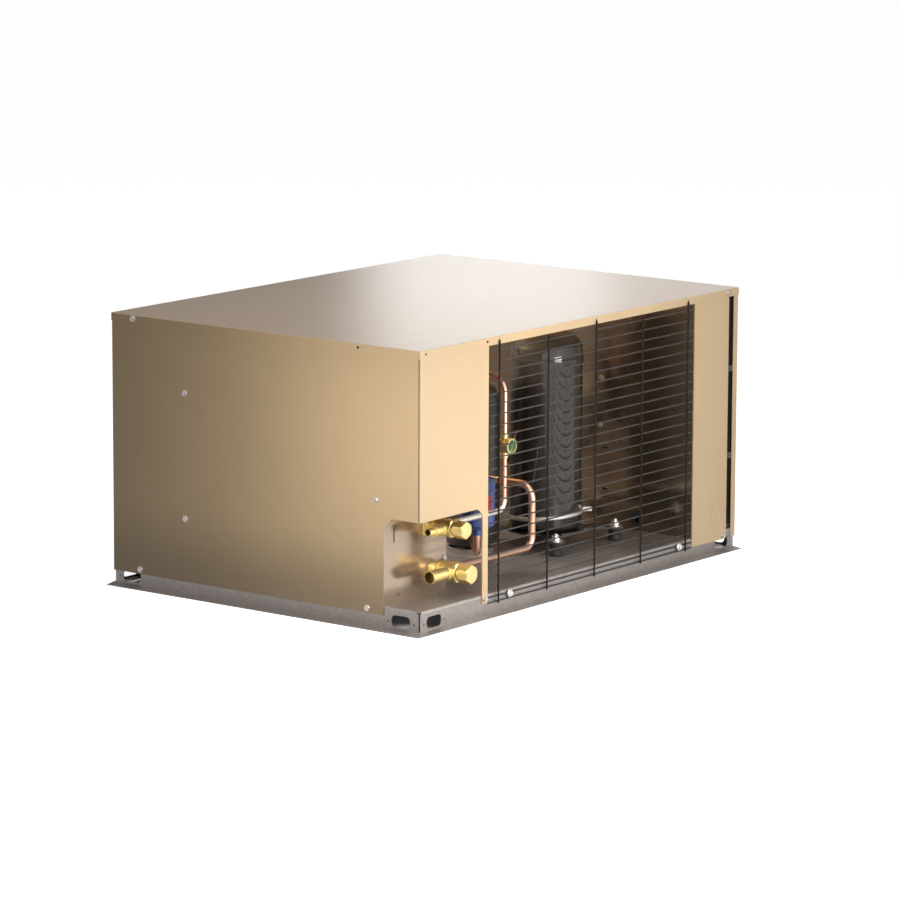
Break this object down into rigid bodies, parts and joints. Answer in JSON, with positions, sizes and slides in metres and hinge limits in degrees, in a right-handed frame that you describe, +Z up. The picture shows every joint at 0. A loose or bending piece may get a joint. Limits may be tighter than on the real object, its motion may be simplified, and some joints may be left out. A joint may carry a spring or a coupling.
{
  "type": "refrigeration condensing unit",
  "caption": "Low outdoor refrigeration condensing unit with a wire guard, corner service valves, sight glass, drier, receiver, hermetic compressor, fan and coil.",
  "frame": {"origin": "centre of the bounding box of the whole unit, on the ground under the base pan", "axes": "+X along the long side towards the electrical end, -Y towards the guard side, +Z up"},
  "size_m": [0.972, 0.7064, 0.478],
  "materials": {
    "casing_paint": "satin warm tan paint",
    "galvanised_sheet": "dull galvanised",
    "partition_paint": "satin warm tan paint",
    "guard_coating": "semi-gloss black coating",
    "black_enamel": "gloss black enamel",
    "tank_paint": "satin grey paint",
    "zinc_steel": "bright zinc plate",
    "brass": "forged and turned brass",
    "valve_steel": "machined",
    "copper_pipe": "drawn copper tube, a little tarnished",
    "fin_aluminium": "thin corrugated sheet",
    "fan_aluminium": "pressed sheet",
    "drier_paint": "gloss blue",
    "sight_lens": "clear glass over a green disc",
    "rubber": "moulded",
    "black_plastic": "moulded",
    "grey_plastic": "moulded",
    "capacitor_case": "drawn can"
  },
  "bodies": {
    "cabinet": {"base_pan": "galvanised_sheet", "cable_grommet": "rubber", "capacitor_strap": "zinc_steel", "coil_crossovers": "copper_pipe", "coil_end_plates": "galvanised_sheet", "coil_fins": "fin_aluminium", "coil_return_bends": "copper_pipe", "compressor_bolts": "zinc_steel", "compressor_foot": "galvanised_sheet", "compressor_mounts": "rubber", "compressor_shell": "black_enamel", "condensate_line": "copper_pipe", "contactor_body": "black_plastic", "corner_panel": "casing_paint", "crankcase_heater": "zinc_steel", "discharge_line": "copper_pipe", "fan_motor": "black_enamel", "fan_shroud": "galvanised_sheet", "filter_drier": "drier_paint", "left_panel": "casing_paint", "liquid_line": "copper_pipe", "liquid_valve_body": "brass", "motor_bracket": "guard_coating", "panel_screws": "zinc_steel", "partition": "partition_paint", "pipe_grommets": "rubber", "pressure_control": "grey_plastic", "rear_frame": "casing_paint", "receiver": "tank_paint", "receiver_line": "copper_pipe", "receiver_stand": "galvanised_sheet", "right_front_panel": "casing_paint", "run_capacitor": "capacitor_case", "sight_glass_body": "brass", "sight_glass_lens": "sight_lens", "suction_line": "copper_pipe", "suction_valve_body": "brass", "terminal_block": "black_plastic", "terminal_cover": "black_plastic", "valve_plate": "galvanised_sheet", "valve_screws": "zinc_steel"},
    "lid": {"top_cover": "casing_paint", "lid_screws": "zinc_steel"},
    "guard": {"front_guard": "guard_coating", "guard_screws": "zinc_steel"},
    "end": {"end_panel": "casing_paint", "end_panel_screws": "zinc_steel"},
    "fan": {"fan_blades": "fan_aluminium", "fan_shaft": "zinc_steel"},
    "liquid_cap": {"liquid_valve_cap": "brass"},
    "suction_cap": {"suction_valve_cap": "brass"},
    "liquid_stem": {"liquid_valve_stem": "valve_steel"},
    "suction_stem": {"suction_valve_stem": "valve_steel"},
    "contactor_press": {"contactor_plunger": "grey_plastic"}
  },
  "joints": [
    {"name": "lid_lift", "type": "slide", "parent": "cabinet", "child": "lid", "axis": [0, 0, 1], "range_m": [0, 0.25]},
    {"name": "guard_pull", "type": "slide", "parent": "cabinet", "child": "guard", "axis": [0, -1, 0], "range_m": [0, 0.15]},
    {"name": "end_panel_pull", "type": "slide", "parent": "cabinet", "child": "end", "axis": [1, 0, 0], "range_m": [0, 0.15]},
    {"name": "fan_spin", "type": "hinge", "parent": "cabinet", "child": "fan", "pos_m": [-0.056, 0.14775, 0.252], "axis": [0, 1, 0], "continuous": true},
    {"name": "liquid_cap_off", "type": "slide", "parent": "cabinet", "child": "liquid_cap", "axis": [0, -1, 0], "range_m": [0, 0.04]},
    {"name": "suction_cap_off", "type": "slide", "parent": "cabinet", "child": "suction_cap", "axis": [0, -1, 0], "range_m": [0, 0.04]},
    {"name": "liquid_stem_turn", "type": "hinge", "parent": "cabinet", "child": "liquid_stem", "pos_m": [-0.324, -0.29225, 0.155], "axis": [0, 1, 0], "range_deg": [-180, 1620]},
    {"name": "suction_stem_turn", "type": "hinge", "parent": "cabinet", "child": "suction_stem", "pos_m": [-0.308, -0.29225, 0.0765], "axis": [0, 1, 0], "range_deg": [-180, 1620]},
    {"name": "contactor_close", "type": "slide", "parent": "cabinet", "child": "contactor_press", "axis": [-1, 0, 0], "range_m": [0, 0.003], "stiffness_N_per_m": 400, "springref_m": -0.002}
  ]
}
